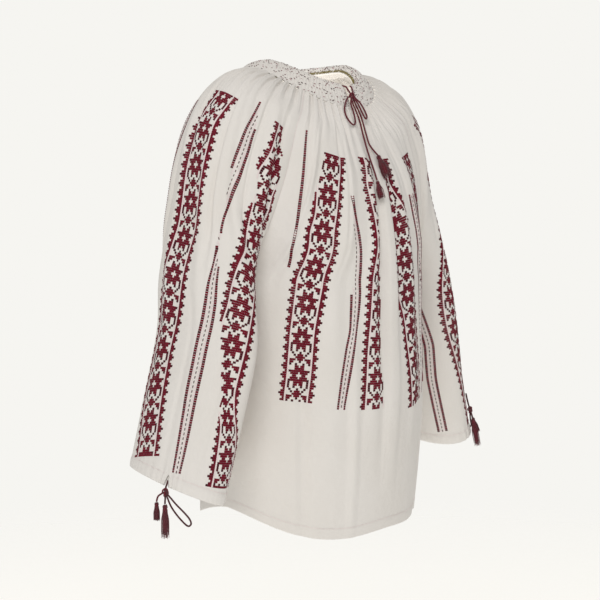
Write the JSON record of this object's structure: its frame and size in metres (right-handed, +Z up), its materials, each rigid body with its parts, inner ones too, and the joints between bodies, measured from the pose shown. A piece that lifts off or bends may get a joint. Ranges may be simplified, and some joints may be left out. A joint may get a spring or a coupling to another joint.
{
  "type": "romanian ie blouse",
  "caption": "Worn gathered blouse with smocked neck band, front slit, long sleeves, cross-stitched columns, and red cord ties with tassels at neck and cuffs.",
  "frame": {"origin": "middle of the neck opening, level with the crest of the neck band at its sides, where the wearer's neck holds the blouse", "axes": "+Z up, -Y to the front of the wearer, -X to the wearer's right"},
  "size_m": [0.6008, 0.2702, 0.5914],
  "materials": {
    "front_panel": "matt cream plain weave with cross-stitch",
    "back_panel": "matt cream plain weave with cross-stitch",
    "sleeve_right": "matt cream plain weave with cross-stitch",
    "sleeve_left": "matt cream plain weave with cross-stitch",
    "neck_band": "matt cream plain weave with cross-stitch",
    "neck_string_right": "dull dark red twisted thread",
    "neck_string_left": "dull dark red twisted thread",
    "neck_big_loop": "dull dark red twisted thread",
    "neck_narrow_loop": "dull dark red twisted thread",
    "neck_tail_high": "dull dark red twisted thread",
    "neck_tail_low": "dull dark red twisted thread",
    "cuff_string_right": "dull dark red twisted thread",
    "cuff_loop_right": "dull dark red twisted thread",
    "cuff_tail_long_right": "dull dark red twisted thread",
    "cuff_tail_short_right": "dull dark red twisted thread",
    "cuff_string_left": "dull dark red twisted thread",
    "cuff_loop_left": "dull dark red twisted thread",
    "cuff_tail_long_left": "dull dark red twisted thread",
    "cuff_tail_short_left": "dull dark red twisted thread",
    "neck_knot": "dull dark red twisted thread",
    "cuff_knot_right": "dull dark red twisted thread",
    "cuff_knot_left": "dull dark red twisted thread",
    "neck_tassel_high": "dull dark red twisted thread",
    "neck_tassel_low": "dull dark red twisted thread",
    "cuff_tassel_long_right": "dull dark red twisted thread",
    "cuff_tassel_short_right": "dull dark red twisted thread",
    "cuff_tassel_long_left": "dull dark red twisted thread",
    "cuff_tassel_short_left": "dull dark red twisted thread"
  },
  "bodies": {
    "root": {"front_panel": "front_panel", "back_panel": "back_panel", "sleeve_right": "sleeve_right", "sleeve_left": "sleeve_left", "neck_band": "neck_band", "neck_string_right": "neck_string_right", "neck_string_left": "neck_string_left", "neck_big_loop": "neck_big_loop", "neck_narrow_loop": "neck_narrow_loop", "neck_tail_high": "neck_tail_high", "neck_tail_low": "neck_tail_low", "cuff_string_right": "cuff_string_right", "cuff_loop_right": "cuff_loop_right", "cuff_tail_long_right": "cuff_tail_long_right", "cuff_tail_short_right": "cuff_tail_short_right", "cuff_string_left": "cuff_string_left", "cuff_loop_left": "cuff_loop_left", "cuff_tail_long_left": "cuff_tail_long_left", "cuff_tail_short_left": "cuff_tail_short_left", "neck_knot": "neck_knot", "cuff_knot_right": "cuff_knot_right", "cuff_knot_left": "cuff_knot_left", "neck_tassel_high": "neck_tassel_high", "neck_tassel_low": "neck_tassel_low", "cuff_tassel_long_right": "cuff_tassel_long_right", "cuff_tassel_short_right": "cuff_tassel_short_right", "cuff_tassel_long_left": "cuff_tassel_long_left", "cuff_tassel_short_left": "cuff_tassel_short_left"}
  },
  "joints": []
}
